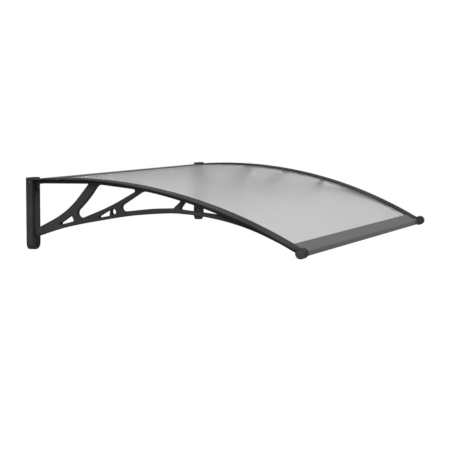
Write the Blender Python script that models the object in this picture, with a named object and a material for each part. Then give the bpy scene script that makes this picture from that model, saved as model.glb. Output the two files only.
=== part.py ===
"""Wall-mounted door canopy: two moulded brackets carry a curved polycarbonate sheet.

Frame: X runs along the wall, the wall is the plane Y = 0 and the canopy reaches out towards -Y, Z is up.
The origin is the middle of the rear seal's face on the wall. Every size is in metres.
"""

import math

import bmesh
import bpy
from mathutils import Matrix, Vector

# Overall sizes
WIDTH = 1.200  # over both brackets, along the wall
REACH = 0.800  # from the wall to the front of the noses
CLEARANCE = 0.0003  # between pieces that touch
OVERLAP = 0.0010  # by which a cutting shape runs past a face

# The arc that the roof follows, seen from the side; depths are measured inwards from it
ARC_RADIUS = 1.352
ARC_SLOPE = math.radians(5.11)  # how steeply the arc leaves the wall, upwards
ARC_START = 0.0074  # height of the arc at the wall, above the origin
STATION_LENGTH = 0.025  # distance between two sections along the arc

# Screws
SCREW_RADIUS = 0.0019
SCREW_RUNNING = 0.0003
SCREW_HEAD_RADIUS = 0.0034
SCREW_HEAD_HEIGHT = 0.0022
SCREW_SIDES = 14
ROUND_SIDES = 28
HOLE_RADIUS = SCREW_RADIUS + SCREW_RUNNING

# Cover strips that clamp the sheet's sides
BRACKET_WIDTH = 0.0470
STRIP_THICKNESS = 0.0032  # from the arc down to the strip's underside
STRIP_RISE = 0.0006  # the strip's shoulders above the arc
STRIP_CROWN = 0.0006  # its middle above its shoulders
STRIP_ROUND = 0.0022
STRIP_UNDERCUT = 0.0009  # chamfer along the lower outer edge
STRIP_SCREW_COUNT = 5
STRIP_SCREW_FIRST = 0.090
STRIP_SCREW_LAST_GAP = 0.120  # from the front of the noses to the last screw
STRIP_SCREW_INSET = 0.0362  # from the bracket's outer face
STRIP_COVER = 0.0014  # the screw holes end this far under the arc
BOSS_RADIUS = 0.0034
SEAL_INSET = 0.0014  # from the strip's inner edge
SEAL_WIDTH = 0.0026
SEAL_THICKNESS = 0.0011

# Sheet and its seat on each bracket
SHEET_THICKNESS = 0.0030
SEAT_INSET = 0.0180  # from a bracket's outer face to the step beside the sheet
SHEET_REAR_GAP = 0.0008  # from the legs' front to the sheet's rear edge
SHEET_FRONT_GAP = 0.0320  # from the front of the noses to the sheet's front edge
SHEET_HOLE_RADIUS = BOSS_RADIUS + 0.0006

# Rails of the brackets
RAIL_INSET = 0.0005  # the rail's sides stand back from the bracket's faces
RAIL_EDGE_DEPTH = 0.0084  # underside at the outer side, below the arc
RAIL_WEB_OUTER_DEPTH = 0.0106
RAIL_WEB_INNER_DEPTH = 0.0119
RAIL_INNER_DEPTH = 0.0111
RAIL_CHAMFER = 0.0008
HAUNCH_DEPTH = 0.0049  # how much deeper the rail is near the wall
HAUNCH_SHARE = 0.3625  # how far out it is deeper, as a share of the reach
HAUNCH_SKEW = 0.68  # under 1, the deepest place is nearer to the wall
PAD_RADIUS = 0.0050
PAD_DEPTH = 0.0122  # face under a strip screw's head, below the arc

# Web of the brackets
WEB_INSET = 0.0135  # from the bracket's outer face
WEB_THICKNESS = 0.0180
WEB_ROUND = 0.0030
WEB_TOP_DEPTH = 0.0045
OPENING_DEPTH = 0.0123  # tops of the openings, below the arc
HIDDEN_DEPTH = 0.0108  # corners of the openings that the rail hides
OUTLINE_TOLERANCE = 0.0001
VALLEY_START_GAP = 0.254  # from the front of the noses
VALLEY_END_GAP = 0.110
VALLEY_TOP_DEPTH = 0.0112
VALLEY_WIDTH = 0.0026
VALLEY_DEPTH = 0.0024  # how far the valley goes into the web's side

# Legs of the brackets
LEG_DEPTH = 0.0182
LEG_HEIGHT = 0.1962
LEG_RISE = 0.0058  # the leg's top above the start of the arc
LEG_ROUND = 0.0180  # corners of the leg's foot
LEG_EDGE_ROUND = 0.0022
RIB_DEPTH = 0.0048  # the web's edge in front of the leg
GROOVE_INSET = 0.0080  # hollow down the leg's front: from the outer face
GROOVE_WIDTH = 0.0155
GROOVE_DEPTH = 0.0040  # behind the leg's front
GROOVE_DROP = 0.0180  # from the leg's top to the hollow's upper end
GROOVE_RISE = 0.0340  # from the leg's foot to its lower end
WALL_HOLE_RADIUS = 0.0033
WALL_SINK_RADIUS = 0.0055
WALL_SINK_DEPTH = 0.0110
TOP_HOLE_DROP = 0.0307
FOOT_HOLE_RISE = 0.0145
RIB_NOTCH_HEIGHT = 0.0210

# Noses at the front of the brackets, with their caps
NOSE_RADIUS = 0.0140
NOSE_DROP = 0.0028  # the nose's centre under the arc
NOSE_LENGTH = 0.0270  # from the bracket's outer face; the front bar ends there
NOSE_EDGE_ROUND = 0.0010
NOSE_FLOOR = 0.0100
CAP_RADIUS = 0.0115
CAP_LENGTH = 0.0060
CAP_PROUD = 0.0008
CAP_ROUND = 0.0009
CAP_SHOULDER = 0.0003

# Rear bar, an aluminium profile between the legs
REAR_BACK = 0.0023  # from the wall to the bar's back
REAR_BOX_DEPTH = 0.0157
REAR_TOP = 0.0081
REAR_HEIGHT = 0.0140
REAR_WALL = 0.0018
REAR_FLANGE_DEPTH = 0.0237  # over the box and the lips that hold the sheet
REAR_SHELF_TOP = 0.0021
REAR_SHELF = 0.0016
WALL_SEAL_HEIGHT = 0.0100

# Front bar, an aluminium profile between the noses
FRONT_LIP_GAP = 0.0492  # from the front of the noses to the upper lip's edge
FRONT_SHELF_GAP = 0.0430
FRONT_FACE_GAP = 0.0160  # from the front of the noses to the bar's front face
FRONT_BOX_DEPTH = 0.0150
FRONT_FACE_HEIGHT = 0.0136
FRONT_LIP = 0.0014
FRONT_WALL = 0.0016
FRONT_ROUND = 0.0045

# Screw channels of the two bars
PORT_WALL = 0.0014
REAR_PORT_OUT = 0.0091
REAR_PORT_UP = 0.0013
FRONT_PORT_BACK = 0.0034  # behind the bar's front face
FRONT_PORT_DROP = 0.0045  # below the bar's top face
REAR_SINK_RADIUS = 0.0042
REAR_SINK_DEPTH = 0.0030
REAR_SCREW_BITE = 0.0150  # length of a screw inside the bar
FRONT_SCREW_BITE = 0.0120

SHEET_TOP = STRIP_THICKNESS + CLEARANCE
SHEET_BOTTOM = SHEET_TOP + SHEET_THICKNESS
SEAT_DEPTH = SHEET_BOTTOM + CLEARANCE
BOSS_END = SEAT_DEPTH - CLEARANCE
REAR_BAR_END = WIDTH / 2 - BRACKET_WIDTH - CLEARANCE
FRONT_BAR_END = WIDTH / 2 - NOSE_LENGTH - CLEARANCE

ARC_CENTRE_OUT = ARC_RADIUS * math.sin(ARC_SLOPE)
ARC_CENTRE_UP = ARC_START - ARC_RADIUS * math.cos(ARC_SLOPE)


def arc_angle(out):
    """Angle, from upright, of the arc's normal this far out from the wall."""
    return math.asin((out - ARC_CENTRE_OUT) / ARC_RADIUS)


def under_arc(out, depth):
    """(out, up) of the point this deep under the arc, measured along its normal."""
    angle = arc_angle(out)
    radius = ARC_RADIUS - depth
    return ARC_CENTRE_OUT + radius * math.sin(angle), ARC_CENTRE_UP + radius * math.cos(angle)


def below_arc(out, depth):
    """Height of the point exactly this far out from the wall on the arc sunk by depth."""
    radius = ARC_RADIUS - depth
    return ARC_CENTRE_UP + math.sqrt(radius**2 - (out - ARC_CENTRE_OUT) ** 2)


def rail_underside(out, depth):
    """Depth of the rail's underside where its plain section has this depth."""
    share = min(max(out, 0.0) / HAUNCH_REACH, 1.0)
    return depth + HAUNCH_DEPTH * math.sin(math.pi * share**HAUNCH_SKEW)


NOSE_OUT = REACH - NOSE_RADIUS
NOSE_UP = below_arc(NOSE_OUT, 0.0) - NOSE_DROP
LEG_TOP = ARC_START + LEG_RISE
LEG_BOTTOM = LEG_TOP - LEG_HEIGHT
HOLE_HEIGHTS = (LEG_TOP - TOP_HOLE_DROP, LEG_BOTTOM + FOOT_HOLE_RISE)
HAUNCH_REACH = HAUNCH_SHARE * REACH
LEFT_FACE = -WIDTH / 2
BAR_ROOM_START = LEFT_FACE + NOSE_LENGTH - RAIL_INSET
RAIL_END = NOSE_OUT - NOSE_RADIUS / 2
STRIP_START = LEG_DEPTH + CLEARANCE
STRIP_END = NOSE_OUT - (NOSE_RADIUS + 2 * CLEARANCE) * math.cos(arc_angle(NOSE_OUT))
SHEET_START = LEG_DEPTH + SHEET_REAR_GAP
SHEET_END = REACH - SHEET_FRONT_GAP
FRONT_FACE = REACH - FRONT_FACE_GAP
FRONT_LIP_EDGE = REACH - FRONT_LIP_GAP
FRONT_SHELF_EDGE = REACH - FRONT_SHELF_GAP
FRONT_PORT_OUT = FRONT_FACE - FRONT_PORT_BACK
FRONT_TOP_DEPTH = SHEET_TOP - CLEARANCE - FRONT_LIP
FRONT_PORT_UP = below_arc(FRONT_PORT_OUT, FRONT_TOP_DEPTH) - FRONT_PORT_DROP
FRONT_BOTTOM = below_arc(FRONT_FACE, FRONT_TOP_DEPTH) - FRONT_FACE_HEIGHT


def make_material(name, colour, roughness, metallic=0.0, alpha=1.0):
    material = bpy.data.materials.new(name)
    material.use_nodes = True
    shader = material.node_tree.nodes["Principled BSDF"]
    shader.inputs["Base Color"].default_value = (*colour, 1.0)
    shader.inputs["Roughness"].default_value = roughness
    shader.inputs["Metallic"].default_value = metallic
    shader.inputs["Alpha"].default_value = alpha
    return material


def new_object(name, mesh, material=None, location=(0.0, 0.0, 0.0), rotation=(0.0, 0.0, 0.0)):
    obj = bpy.data.objects.new(name, mesh)
    bpy.context.scene.collection.objects.link(obj)
    obj.location = location
    obj.rotation_euler = rotation
    if material and not mesh.materials:
        mesh.materials.append(material)
    return obj


def shade(mesh):
    mesh.shade_smooth()
    mesh.set_sharp_from_angle(angle=math.radians(28))


def finish_mesh(bm, name):
    """Turns all faces outwards and shades the round ones smooth."""
    bmesh.ops.recalc_face_normals(bm, faces=bm.faces)
    mesh = bpy.data.meshes.new(name)
    bm.to_mesh(mesh)
    bm.free()
    shade(mesh)
    return mesh


def add_loft(bm, rings):
    """A closed body through rings of points with the same count."""
    rows = [[bm.verts.new(point) for point in ring] for ring in rings]
    count = len(rows[0])
    for near, far in zip(rows, rows[1:]):
        for index in range(count):
            following = (index + 1) % count
            bm.faces.new((near[index], near[following], far[following], far[index]))
    bm.faces.new(rows[0])
    bm.faces.new(reversed(rows[-1]))


def sweep_along_arc(bm, section, start, end, depth_at=None):
    """Carries a section of (x, depth) points along the arc, from one distance out to another."""
    first = arc_angle(start)
    last = arc_angle(end)
    steps = max(2, round(ARC_RADIUS * (last - first) / STATION_LENGTH))
    rings = []
    for step in range(steps + 1):
        station = ARC_CENTRE_OUT + ARC_RADIUS * math.sin(first + (last - first) * step / steps)
        ring = []
        for x, depth in section:
            out, up = under_arc(station, depth_at(station, depth) if depth_at else depth)
            ring.append((x, -out, up))
        rings.append(ring)
    add_loft(bm, rings)


def add_rod(bm, start, end, radius, sides=ROUND_SIDES):
    """A closed cylinder between two points."""
    start = Vector(start)
    along = Vector(end) - start
    turn = along.to_track_quat("Z", "Y").to_matrix().to_4x4()
    bmesh.ops.create_cone(
        bm,
        cap_ends=True,
        segments=sides,
        radius1=radius,
        radius2=radius,
        depth=along.length,
        matrix=Matrix.Translation(start + along / 2) @ turn,
    )


def add_turned(bm, profile, sides, place):
    """A round body along Z through (radius, height) points, its ends closed, moved by a matrix."""
    rings = []
    for radius, height in profile:
        angles = (2 * math.pi * side / sides for side in range(sides))
        rings.append([place @ Vector((radius * math.cos(a), radius * math.sin(a), height)) for a in angles])
    add_loft(bm, rings)


def rounded_outline(corners):
    """Outline through (out, up, radius) corners, each replaced by an arc of its radius."""
    outline = []
    count = len(corners)
    for index, (out, up, radius) in enumerate(corners):
        corner = Vector((out, up))
        before = (Vector(corners[index - 1][:2]) - corner).normalized()
        after = (Vector(corners[(index + 1) % count][:2]) - corner).normalized()
        turn = math.pi - before.angle(after)
        if radius <= 0.0:
            outline.append((out, up))
            continue
        reach = radius * math.tan(turn / 2)
        middle = corner + (before + after).normalized() * (radius / math.cos(turn / 2))
        first = corner + before * reach - middle
        last = corner + after * reach - middle
        steps = max(2, math.ceil(turn / (2 * math.acos(1 - OUTLINE_TOLERANCE / radius))))
        start_angle = math.atan2(first.y, first.x)
        sweep = math.remainder(math.atan2(last.y, last.x) - start_angle, 2 * math.pi)
        for step in range(steps + 1):
            angle = start_angle + sweep * step / steps
            outline.append((middle.x + radius * math.cos(angle), middle.y + radius * math.sin(angle)))
    return outline


def smooth_curve(points, steps=6):
    """Points of a curve that runs smoothly through the given ones."""
    padded = [points[0], *points, points[-1]]
    curve = []
    for before, start, end, after in zip(padded, padded[1:], padded[2:], padded[3:]):
        for step in range(steps):
            t = step / steps
            point = []
            for a, b, c, d in zip(before, start, end, after):
                slope = (c - a) / 2
                bend = (2 * a - 5 * b + 4 * c - d) / 2
                twist = (3 * b - a - 3 * c + d) / 2
                point.append(b + t * (slope + t * (bend + t * twist)))
            curve.append(tuple(point))
    curve.append(points[-1])
    return curve


def circle(centre, radius, sides, start=0.0, end=2 * math.pi):
    """Points on an arc; a full circle doesn't repeat its first point."""
    full = end - start >= 2 * math.pi
    angles = [start + (end - start) * side / sides for side in range(sides + (not full))]
    return [(centre[0] + radius * math.cos(a), centre[1] + radius * math.sin(a)) for a in angles]


def extrude_outlines(bm, outlines, start, end):
    """Fills (out, up) outlines, the first with the others as holes, and extrudes them along X."""
    edges = []
    for outline in outlines:
        corners = [bm.verts.new((start, -out, up)) for out, up in outline]
        for first, second in zip(corners, corners[1:] + corners[:1]):
            edges.append(bm.edges.new((first, second)))
    filled = bmesh.ops.triangle_fill(bm, use_beauty=True, use_dissolve=False, edges=edges)
    faces = [item for item in filled["geom"] if isinstance(item, bmesh.types.BMFace)]
    extruded = bmesh.ops.extrude_face_region(bm, geom=faces, use_keep_orig=True)
    moved = [item for item in extruded["geom"] if isinstance(item, bmesh.types.BMVert)]
    bmesh.ops.translate(bm, vec=(end - start, 0.0, 0.0), verts=moved)


def helper(name, mesh):
    """A shape that is joined to a piece or cut from it, and isn't a piece itself."""
    obj = new_object(name, mesh)
    obj.hide_render = True
    obj.display_type = "WIRE"
    return obj


def combine(name, mesh, steps):
    """Mesh after joining or cutting the (operation, mesh) steps in turn."""
    base = new_object(name, mesh)
    tools = []
    for operation, tool_mesh in steps:
        tool = helper(f"{name}_{operation.lower()}_{len(tools)}", tool_mesh)
        tools.append(tool)
        modifier = base.modifiers.new(tool.name, "BOOLEAN")
        modifier.operation = operation
        modifier.solver = "EXACT"
        modifier.object = tool
    graph = bpy.context.evaluated_depsgraph_get()
    combined = bpy.data.meshes.new_from_object(base.evaluated_get(graph))
    for used in (base, *tools):
        bpy.data.objects.remove(used)
    bm = bmesh.new()
    bm.from_mesh(combined)
    bmesh.ops.remove_doubles(bm, verts=bm.verts, dist=1e-6)
    bm.to_mesh(combined)
    bm.free()
    combined.name = name
    shade(combined)
    return combined


def mirrored(mesh, name):
    """Copy of a mesh on the other side of the middle."""
    bm = bmesh.new()
    bm.from_mesh(mesh)
    bmesh.ops.scale(bm, vec=(-1.0, 1.0, 1.0), verts=bm.verts)
    bmesh.ops.reverse_faces(bm, faces=bm.faces)
    copy = bpy.data.meshes.new(name)
    bm.to_mesh(copy)
    bm.free()
    shade(copy)
    return copy


for leftover in list(bpy.data.objects):
    bpy.data.objects.remove(leftover)

black_plastic = make_material("black_plastic", (0.021, 0.021, 0.022), 0.45)
aluminium = make_material("aluminium", (0.17, 0.17, 0.17), 0.45, metallic=1.0)
polycarbonate = make_material("polycarbonate", (0.62, 0.62, 0.62), 0.35, alpha=0.6)
rubber = make_material("rubber", (0.015, 0.015, 0.015), 0.8)
steel = make_material("screw_steel", (0.12, 0.12, 0.125), 0.40, metallic=1.0)


# Sheet: flat-rolled polycarbonate bent over the brackets, with holes for the strips' bosses
screw_step = (REACH - STRIP_SCREW_LAST_GAP - STRIP_SCREW_FIRST) / (STRIP_SCREW_COUNT - 1)
screw_stations = [STRIP_SCREW_FIRST + screw_step * index for index in range(STRIP_SCREW_COUNT)]


def rod_under_arc(bm, x, station, start_depth, end_depth, radius, sides=ROUND_SIDES):
    start_out, start_up = under_arc(station, start_depth)
    end_out, end_up = under_arc(station, end_depth)
    add_rod(bm, (x, -start_out, start_up), (x, -end_out, end_up), radius, sides)


def screw_rods(x, start_depth, end_depth, radius, stations=screw_stations):
    bm = bmesh.new()
    for station in stations:
        rod_under_arc(bm, x, station, start_depth, end_depth, radius, SCREW_SIDES)
    return finish_mesh(bm, "rods")


screw_line = LEFT_FACE + STRIP_SCREW_INSET
sheet_side = WIDTH / 2 - SEAT_INSET - CLEARANCE
bm = bmesh.new()
sheet_section = [
    (-sheet_side, SHEET_TOP),
    (sheet_side, SHEET_TOP),
    (sheet_side, SHEET_BOTTOM),
    (-sheet_side, SHEET_BOTTOM),
]
sweep_along_arc(bm, sheet_section, SHEET_START, SHEET_END)
left_sheet_holes = screw_rods(screw_line, 0.0, SEAT_DEPTH + OVERLAP, SHEET_HOLE_RADIUS)
right_sheet_holes = mirrored(left_sheet_holes, "right_sheet_holes")
sheet_mesh = combine(
    "polycarbonate_sheet",
    finish_mesh(bm, "sheet"),
    [("DIFFERENCE", left_sheet_holes), ("DIFFERENCE", right_sheet_holes)],
)
new_object("polycarbonate_sheet", sheet_mesh, polycarbonate)


# Brackets: each is moulded as one, with rail, web, leg and nose
def rail_section():
    inner = BRACKET_WIDTH - RAIL_INSET
    section = [
        (RAIL_INSET + RAIL_CHAMFER, SHEET_TOP),
        (inner, SHEET_TOP),
        (inner, RAIL_INNER_DEPTH - RAIL_CHAMFER),
        (inner - RAIL_CHAMFER, RAIL_INNER_DEPTH),
        (WEB_INSET + WEB_THICKNESS, RAIL_WEB_INNER_DEPTH),
        (WEB_INSET, RAIL_WEB_OUTER_DEPTH),
        (RAIL_INSET + RAIL_CHAMFER, RAIL_EDGE_DEPTH),
        (RAIL_INSET, RAIL_EDGE_DEPTH - RAIL_CHAMFER),
        (RAIL_INSET, SHEET_TOP + RAIL_CHAMFER),
    ]
    return [(LEFT_FACE + x, depth) for x, depth in section]


def rail_depth(station, depth):
    return depth if depth <= SHEET_TOP + RAIL_CHAMFER else rail_underside(station, depth)


def hung(out_share, drop_share, radius_share=0.0):
    """Place given as shares: out of the reach, and drop below the arc and radius of the leg's height."""
    out = out_share * REACH
    return out, below_arc(out, 0.0) - drop_share * LEG_HEIGHT, radius_share * LEG_HEIGHT


def opening_top(out_share, radius, depth=OPENING_DEPTH):
    """Upper corner of an opening, at the rail's underside; its place out is a share of the reach."""
    return *under_arc(out_share * REACH, depth), radius


def web_outlines():
    """The web's outline and its four large openings."""
    rib_front = LEG_DEPTH + RIB_DEPTH
    stations = [LEG_DEPTH / 2 + (RAIL_END - LEG_DEPTH / 2) * step / 40 for step in range(41)]
    top = [under_arc(station, WEB_TOP_DEPTH) for station in stations]
    underside = smooth_curve(
        [
            hung(0.9738, 0.0618)[:2],
            hung(0.9375, 0.0675)[:2],
            hung(0.8975, 0.0690)[:2],
            hung(0.8163, 0.0839)[:2],
            hung(0.7337, 0.1183)[:2],
            hung(0.6487, 0.1697)[:2],
            hung(0.5813, 0.2213)[:2],
            hung(0.5137, 0.2833)[:2],
            hung(0.3837, 0.4253)[:2],
            hung(0.2500, 0.5720)[:2],
            hung(0.1813, 0.6375)[:2],
            hung(0.1137, 0.7040)[:2],
            hung(0.0125, 0.8168)[:2],
        ]
    )
    outer = [*top, *underside]
    first = [
        (*under_arc(rib_front, OPENING_DEPTH), 0.0020),
        opening_top(0.2275, 0.0015),
        hung(0.1486, 0.4565, 1.2742),
        (rib_front, hung(0.0287, 0.6868)[1], 0.0030),
    ]
    second = [
        opening_top(0.2619, 0.0206, 0.0118),
        opening_top(0.4119, 0.0042, HIDDEN_DEPTH),
        hung(0.3062, 0.3426, 3.0581),
        hung(0.1350, 0.6500, 0.0640),
        hung(0.2306, 0.2531, 1.5291),
    ]
    third = [
        opening_top(0.4309, 0.0300, 0.0112),
        opening_top(0.4963, 0.9000, HIDDEN_DEPTH),
        opening_top(0.5669, 0.0020),
        hung(0.5363, 0.1916, 0.0306),
        hung(0.4562, 0.2740, 2.5484),
        hung(0.3088, 0.4300, 0.0499),
    ]
    fourth = [
        opening_top(0.5813, 0.0040),
        opening_top(0.6362, 0.9000, 0.0117),
        opening_top(0.7050, 0.0010, 0.0129),
        hung(0.5587, 0.1821, 0.0178),
    ]
    return [outer, *(rounded_outline(corners) for corners in (first, second, third, fourth))]


def web_plate():
    """Plate with rounded edges, made from a flat curve that is thickened."""
    curve = bpy.data.curves.new("web", "CURVE")
    curve.dimensions = "2D"
    curve.fill_mode = "BOTH"
    curve.extrude = WEB_THICKNESS / 2 - WEB_ROUND
    curve.bevel_depth = WEB_ROUND
    curve.bevel_resolution = 1
    curve.offset = -WEB_ROUND
    for outline in web_outlines():
        spline = curve.splines.new("POLY")
        spline.points.add(len(outline) - 1)
        for point, (out, up) in zip(spline.points, outline):
            point.co = (out, up, 0.0, 1.0)
        spline.use_cyclic_u = True
    thickened = new_object("web", curve)
    graph = bpy.context.evaluated_depsgraph_get()
    mesh = bpy.data.meshes.new_from_object(thickened.evaluated_get(graph))
    bpy.data.objects.remove(thickened)
    middle = LEFT_FACE + WEB_INSET + WEB_THICKNESS / 2
    upright = Matrix(((0.0, 0.0, -1.0), (-1.0, 0.0, 0.0), (0.0, 1.0, 0.0)))
    bm = bmesh.new()
    bm.from_mesh(mesh)
    bmesh.ops.remove_doubles(bm, verts=bm.verts, dist=1e-6)
    place = Matrix.Translation((middle, 0.0, 0.0)) @ upright.to_4x4()
    bmesh.ops.transform(bm, matrix=place, verts=bm.verts)
    return finish_mesh(bm, "web")


def web_cutters():
    """The two small triangles, the eye, the notch in the rib and the valleys beside the lower rail."""
    start = LEFT_FACE + WEB_INSET - OVERLAP
    end = LEFT_FACE + WEB_INSET + WEB_THICKNESS + OVERLAP
    triangle_near_leg = [
        hung(0.1045, 0.6560, 0.0133),
        hung(0.1631, 0.4990, 0.0127),
        hung(0.1731, 0.5850, 0.0153),
    ]
    triangle_at_eye = [
        hung(0.2512, 0.5290, 0.0107),
        hung(0.3085, 0.3754, 0.0041),
        hung(0.3062, 0.4665, 0.0061),
    ]
    eye_out, eye_up, eye_radius = hung(0.3195, 0.4082, 0.0428)
    bm = bmesh.new()
    extrude_outlines(bm, [rounded_outline(triangle_near_leg)], start, end)
    extrude_outlines(bm, [rounded_outline(triangle_at_eye)], start, end)
    extrude_outlines(bm, [circle((eye_out, eye_up), eye_radius, ROUND_SIDES)], start, end)
    notch_middle = HOLE_HEIGHTS[0]
    notch_low = notch_middle - RIB_NOTCH_HEIGHT / 2
    notch_high = notch_middle + RIB_NOTCH_HEIGHT / 2
    notch_front = LEG_DEPTH + RIB_DEPTH + OVERLAP
    notch = [
        (0.0, notch_low),
        (notch_front, notch_low),
        (notch_front, notch_high),
        (0.0, notch_high),
    ]
    extrude_outlines(bm, [notch], start, end)
    valley_middle = VALLEY_TOP_DEPTH + VALLEY_WIDTH / 2
    valley_bottom = VALLEY_TOP_DEPTH + VALLEY_WIDTH
    for face, inwards in ((WEB_INSET, 1), (WEB_INSET + WEB_THICKNESS, -1)):
        outside = LEFT_FACE + face - inwards * OVERLAP
        section = [
            (outside, VALLEY_TOP_DEPTH),
            (LEFT_FACE + face + inwards * VALLEY_DEPTH, valley_middle),
            (outside, valley_bottom),
        ]
        sweep_along_arc(bm, section, REACH - VALLEY_START_GAP, REACH - VALLEY_END_GAP)
    return finish_mesh(bm, "web_cutters")


def seat_pocket():
    """Room for the sheet over the inner part of the rail."""
    outer = LEFT_FACE + SEAT_INSET
    inner = LEFT_FACE + BRACKET_WIDTH + OVERLAP
    bm = bmesh.new()
    section = [(outer, -OVERLAP), (inner, -OVERLAP), (inner, SEAT_DEPTH), (outer, SEAT_DEPTH)]
    sweep_along_arc(bm, section, 0.0, REACH)
    return finish_mesh(bm, "seat_pocket")


def leg():
    """Upright leg with rounded corners at its foot, its front edges rounded."""
    straight = LEG_BOTTOM + LEG_ROUND
    corner_sides = ROUND_SIDES // 4
    outline = [
        (0.0, LEG_TOP),
        *circle((LEG_ROUND, straight), LEG_ROUND, corner_sides, math.pi, 1.5 * math.pi),
        *circle((BRACKET_WIDTH - LEG_ROUND, straight), LEG_ROUND, corner_sides, 1.5 * math.pi, 2 * math.pi),
        (BRACKET_WIDTH, LEG_TOP),
    ]
    bm = bmesh.new()
    add_loft(bm, [[(LEFT_FACE + x, -out, up) for x, up in outline] for out in (0.0, LEG_DEPTH)])
    front = [edge for edge in bm.edges if all(vert.co.y < -LEG_DEPTH / 2 for vert in edge.verts)]
    bmesh.ops.recalc_face_normals(bm, faces=bm.faces)
    bmesh.ops.bevel(
        bm, geom=front, offset=LEG_EDGE_ROUND, segments=3, profile=0.5, affect="EDGES", material=-1
    )
    return finish_mesh(bm, "leg")


def leg_groove():
    """Hollow down the leg's front, between its outer edge and the rib."""
    floor = LEG_DEPTH - GROOVE_DEPTH
    front = LEG_DEPTH + RIB_DEPTH + OVERLAP
    high = LEG_TOP - GROOVE_DROP
    low = LEG_BOTTOM + GROOVE_RISE
    hollow = [(floor, low + GROOVE_DEPTH), (front, low), (front, high), (floor, high)]
    start = LEFT_FACE + GROOVE_INSET
    bm = bmesh.new()
    extrude_outlines(bm, [hollow], start, start + GROOVE_WIDTH)
    return finish_mesh(bm, "leg_groove")


def bar_room():
    """Room for the front bar's end, in the inner part of the rail and web."""
    edge = FRONT_SHELF_EDGE - CLEARANCE
    end = REACH + OVERLAP
    low = NOSE_UP - 2 * NOSE_RADIUS
    room = [(edge, low), (end, low), (end, LEG_TOP), (edge, LEG_TOP)]
    bm = bmesh.new()
    extrude_outlines(bm, [room], BAR_ROOM_START, LEFT_FACE + BRACKET_WIDTH + OVERLAP)
    return finish_mesh(bm, "bar_room")


def nose():
    """Short barrel across the front end of the arm."""
    inset = NOSE_EDGE_ROUND
    profile = [
        (NOSE_RADIUS - inset, 0.0),
        (NOSE_RADIUS - 0.3 * inset, 0.3 * inset),
        (NOSE_RADIUS, inset),
        (NOSE_RADIUS, NOSE_LENGTH - inset),
        (NOSE_RADIUS - 0.3 * inset, NOSE_LENGTH - 0.3 * inset),
        (NOSE_RADIUS - inset, NOSE_LENGTH),
    ]
    bm = bmesh.new()
    place = Matrix.Translation((LEFT_FACE, -NOSE_OUT, NOSE_UP)) @ Matrix.Rotation(math.pi / 2, 4, "Y")
    add_turned(bm, profile, 2 * ROUND_SIDES, place)
    return finish_mesh(bm, "nose")


def leg_bores():
    """Holes for the wall's screws and for the rear bar's screw, with their sinks."""
    bm = bmesh.new()
    middle = LEFT_FACE + BRACKET_WIDTH / 2
    sink_bottom = LEG_DEPTH - WALL_SINK_DEPTH
    for height in HOLE_HEIGHTS:
        add_turned(
            bm,
            [
                (WALL_HOLE_RADIUS, -OVERLAP),
                (WALL_HOLE_RADIUS, sink_bottom),
                (WALL_SINK_RADIUS, sink_bottom),
                (WALL_SINK_RADIUS, LEG_DEPTH + 2 * RIB_DEPTH),
            ],
            ROUND_SIDES,
            Matrix.Translation((middle, 0.0, height)) @ Matrix.Rotation(math.pi / 2, 4, "X"),
        )
    sideways = Matrix.Rotation(math.pi / 2, 4, "Y")
    rear_place = Matrix.Translation((LEFT_FACE, -REAR_PORT_OUT, REAR_PORT_UP)) @ sideways
    rear_profile = [
        (REAR_SINK_RADIUS, -OVERLAP),
        (REAR_SINK_RADIUS, REAR_SINK_DEPTH),
        (HOLE_RADIUS, REAR_SINK_DEPTH),
        (HOLE_RADIUS, BRACKET_WIDTH + OVERLAP),
    ]
    add_turned(bm, rear_profile, ROUND_SIDES, rear_place)
    return finish_mesh(bm, "leg_bores")


def nose_socket():
    """Socket of the nose's cap, with a shoulder that the cap stops against."""
    cap_end = CAP_LENGTH - CAP_PROUD + CLEARANCE
    socket_radius = CAP_RADIUS + CLEARANCE
    profile = [
        (socket_radius, -OVERLAP),
        (socket_radius, cap_end),
        (CAP_RADIUS - CAP_SHOULDER, cap_end),
        (CAP_RADIUS - CAP_SHOULDER, NOSE_LENGTH - NOSE_FLOOR),
    ]
    bm = bmesh.new()
    place = Matrix.Translation((LEFT_FACE, -NOSE_OUT, NOSE_UP)) @ Matrix.Rotation(math.pi / 2, 4, "Y")
    add_turned(bm, profile, 2 * ROUND_SIDES, place)
    return finish_mesh(bm, "nose_socket")


def front_screw_bore():
    bm = bmesh.new()
    start = (LEFT_FACE + NOSE_LENGTH - NOSE_FLOOR - OVERLAP, -FRONT_PORT_OUT, FRONT_PORT_UP)
    end = (LEFT_FACE + NOSE_LENGTH + OVERLAP, -FRONT_PORT_OUT, FRONT_PORT_UP)
    add_rod(bm, start, end, HOLE_RADIUS, SCREW_SIDES)
    return finish_mesh(bm, "front_screw_bore")


def strip_screw_bores():
    """Holes through the rail, each with a sink where the rail is deeper than a screw's pad."""
    bm = bmesh.new()
    for station in screw_stations:
        sink_radius = PAD_RADIUS if station < HAUNCH_REACH else HOLE_RADIUS
        profile = [
            (HOLE_RADIUS, 0.0),
            (HOLE_RADIUS, PAD_DEPTH),
            (sink_radius, PAD_DEPTH),
            (sink_radius, 2 * PAD_DEPTH),
        ]
        if sink_radius == HOLE_RADIUS:
            profile = [profile[0], profile[-1]]
        out, up = under_arc(station, 0.0)
        place = Matrix.Translation((screw_line, -out, up))
        turn = Matrix.Rotation(arc_angle(station) + math.pi, 4, "X")
        add_turned(bm, profile, ROUND_SIDES, place @ turn)
    return finish_mesh(bm, "strip_screw_bores")


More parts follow.
